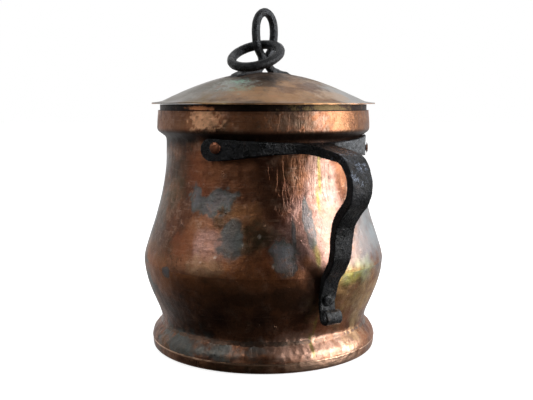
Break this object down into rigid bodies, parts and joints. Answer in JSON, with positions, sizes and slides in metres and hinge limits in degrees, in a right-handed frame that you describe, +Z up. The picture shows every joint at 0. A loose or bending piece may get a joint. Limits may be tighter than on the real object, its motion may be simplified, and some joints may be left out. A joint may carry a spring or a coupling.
{
  "type": "lidded pot",
  "caption": "Round-bellied hammered copper pot with a lift-off domed lid, a loose iron lift ring and a forged iron loop handle on its side.",
  "frame": {"origin": "centre of the flat underside of the base, which stands on the floor", "axes": "+Z up along the axis the pot is turned about, +X out through the middle of the side handle, +Y to the left of someone looking out along the handle"},
  "size_m": [0.2307, 0.1914, 0.2665],
  "materials": {
    "body_copper": "hammered and tarnished",
    "lid_copper": "hammered and tarnished, paler",
    "rivet_copper": "hammered, dark",
    "forged_iron": "forged, blackened and pitted"
  },
  "bodies": {
    "pot": {"body_lower": "body_copper", "body_upper": "body_copper", "base_pan": "body_copper", "handle": "forged_iron", "handle_rivet_left": "rivet_copper", "handle_rivet_right": "rivet_copper", "handle_rivet_lower": "forged_iron"},
    "lid": {"lid_dome": "lid_copper", "lid_skirt": "body_copper", "lid_eye": "forged_iron", "eye_rivet_front": "forged_iron", "eye_rivet_back": "forged_iron"},
    "ring": {"lift_ring": "forged_iron"}
  },
  "joints": [
    {"name": "lid_lift", "type": "slide", "parent": "pot", "child": "lid", "axis": [0, 0, 1], "range_m": [0, 0.1]},
    {"name": "ring_swing", "type": "hinge", "parent": "lid", "child": "ring", "pos_m": [-0.00052, 0.00183, 0.2383], "axis": [-0.809, -0.5878, 0], "range_deg": [0, 238]}
  ]
}
